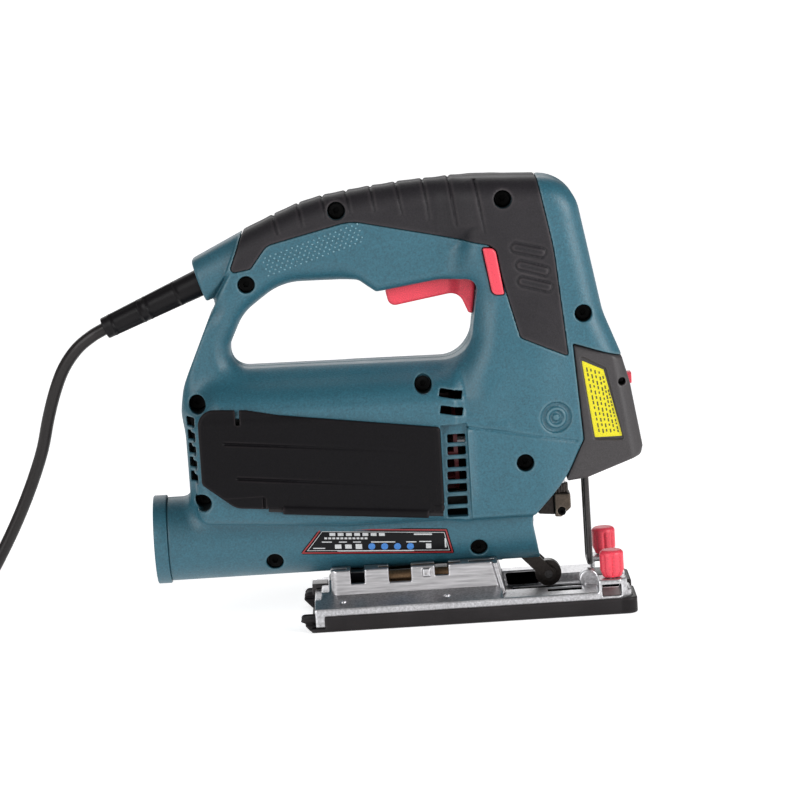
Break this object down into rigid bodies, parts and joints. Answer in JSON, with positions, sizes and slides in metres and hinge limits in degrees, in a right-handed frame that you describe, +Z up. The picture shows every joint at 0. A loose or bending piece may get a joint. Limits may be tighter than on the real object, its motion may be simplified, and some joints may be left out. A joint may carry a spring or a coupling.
{
  "type": "jigsaw power tool",
  "caption": "Corded jigsaw with a D-shaped handle, soft grip, paddle trigger, side storage door, dust port, plunger blade clamp and a tilting shoe.",
  "frame": {"origin": "on the underside of the shoe, at the middle of the metal shoe's length and width", "axes": "+X forwards, towards the blade; +Y to the tool's left; +Z up"},
  "size_m": [0.4692, 0.1175, 0.2181],
  "materials": {
    "housing": "fine-grained moulded plastic",
    "grip": "soft matt overmould",
    "dark_plastic": "fine-grained moulded plastic",
    "label": "printed film",
    "black_steel": "blackened steel",
    "cast_metal": "die cast",
    "steel": "turned steel",
    "lamination": "stacked sheet steel",
    "copper": "enamelled copper",
    "brass": "stamped brass",
    "carbon": "pressed carbon",
    "black_plastic": "moulded plastic",
    "capacitor_film": "potted box",
    "bronze": "sintered bronze",
    "seal": "felt and rubber ring",
    "burnished_steel": "burnished steel",
    "red_plastic": "satin plastic",
    "aluminium": "die cast, blasted",
    "cord_rubber": "smooth rubber"
  },
  "bodies": {
    "housing": {"housing_right": "housing", "housing_left": "housing", "grip_right": "grip", "grip_left": "grip", "nose_cover": "dark_plastic", "labels": "label", "housing_screws": "black_steel", "gear_case": "cast_metal", "motor_bearings": "steel", "field_stack": "lamination", "field_coils": "copper", "brush_holders": "brass", "carbon_brushes": "carbon", "brush_springs": "steel", "switch_body": "black_plastic", "cord_clamp": "black_plastic", "capacitor": "capacitor_film", "fan_baffle": "black_plastic", "dust_adapter": "housing", "plunger_bushes": "bronze", "gear_spindle": "steel", "plunger_seal": "seal", "finger_guard": "black_steel", "laser_module": "brass", "hinge_pins": "steel", "trigger_spring": "steel", "strain_relief": "cord_rubber", "cord": "cord_rubber", "cord_coil": "cord_rubber", "coil_tie": "black_plastic", "plug_body": "cord_rubber", "plug_pins": "steel"},
    "armature": {"armature_shaft": "steel", "armature_core": "lamination", "armature_windings": "copper", "commutator": "copper", "fan": "black_plastic", "pinion": "steel"},
    "large_gear": {"drive_gear": "steel", "crank_pin": "steel", "counterweight": "steel"},
    "plunger": {"plunger_rod": "steel", "yoke": "steel", "blade_clamp": "burnished_steel", "clamp_screw": "black_steel"},
    "orbit_arm": {"roller_fork": "burnished_steel", "roller_pin": "steel"},
    "roller": {"guide_roller": "burnished_steel"},
    "orbit_selector": {"orbit_knob": "black_plastic"},
    "trigger": {"trigger": "red_plastic"},
    "lock_button": {"lock_button": "red_plastic"},
    "laser_button": {"laser_button": "red_plastic"},
    "storage_door": {"storage_door": "dark_plastic"},
    "shoe": {"shoe_plate": "aluminium", "cradle": "aluminium", "overshoe": "dark_plastic"},
    "bevel_lever": {"bevel_lever": "steel"},
    "fence_knob_left": {"fence_knob_left": "red_plastic"},
    "fence_knob_right": {"fence_knob_right": "red_plastic"}
  },
  "joints": [
    {"name": "armature_spin", "type": "hinge", "parent": "housing", "child": "armature", "pos_m": [-0.06, 0, 0.086], "axis": [1, 0, 0], "continuous": true},
    {"name": "gear_spin", "type": "hinge", "parent": "housing", "child": "large_gear", "pos_m": [0.0235, 0, 0.113], "axis": [1, 0, 0], "continuous": true},
    {"name": "plunger_slide", "type": "slide", "parent": "housing", "child": "plunger", "axis": [0, 0, 1], "range_m": [-0.015, 0.003]},
    {"name": "orbit_swing", "type": "hinge", "parent": "housing", "child": "orbit_arm", "pos_m": [0.024, 0, 0.032], "axis": [0, 1, 0], "range_deg": [-6, 2]},
    {"name": "roller_spin", "type": "hinge", "parent": "orbit_arm", "child": "roller", "pos_m": [0.039, 0, 0.016], "axis": [0, 1, 0], "continuous": true},
    {"name": "orbit_select", "type": "hinge", "parent": "housing", "child": "orbit_selector", "pos_m": [0.016, 0.03, 0.066], "axis": [0, 1, 0], "range_deg": [0, 90]},
    {"name": "trigger_pull", "type": "hinge", "parent": "housing", "child": "trigger", "pos_m": [0.014, 0, 0.155], "axis": [0, 1, 0], "range_deg": [0, 7], "stiffness_Nm_per_rad": 0.6, "springref_deg": -8.59},
    {"name": "lock_press", "type": "slide", "parent": "housing", "child": "lock_button", "axis": [0, 1, 0], "range_m": [0, 0.003], "stiffness_N_per_m": 300, "springref_m": -0.002},
    {"name": "laser_press", "type": "slide", "parent": "housing", "child": "laser_button", "axis": [-1, 0, 0], "range_m": [0, 0.0015], "stiffness_N_per_m": 400, "springref_m": -0.001},
    {"name": "door_swing", "type": "hinge", "parent": "housing", "child": "storage_door", "pos_m": [-0.055, -0.0346, 0.059], "axis": [0.996, 0, -0.0889], "range_deg": [0, 85]},
    {"name": "shoe_tilt", "type": "hinge", "parent": "housing", "child": "shoe", "pos_m": [-0.03, 0, 0.045], "axis": [1, 0, 0], "range_deg": [-45, 45]},
    {"name": "bevel_release", "type": "hinge", "parent": "shoe", "child": "bevel_lever", "pos_m": [-0.06, 0, 0.012], "axis": [0, 0, 1], "range_deg": [0, 40]},
    {"name": "fence_knob_left_spin", "type": "hinge", "parent": "shoe", "child": "fence_knob_left", "pos_m": [0.0695, 0.031, 0.02], "axis": [0, 0, 1], "continuous": true},
    {"name": "fence_knob_right_spin", "type": "hinge", "parent": "shoe", "child": "fence_knob_right", "pos_m": [0.0695, -0.031, 0.02], "axis": [0, 0, 1], "continuous": true}
  ],
  "couplings": [
    {"joint": "gear_spin", "follows": "armature_spin", "ratio": -0.14286}
  ]
}
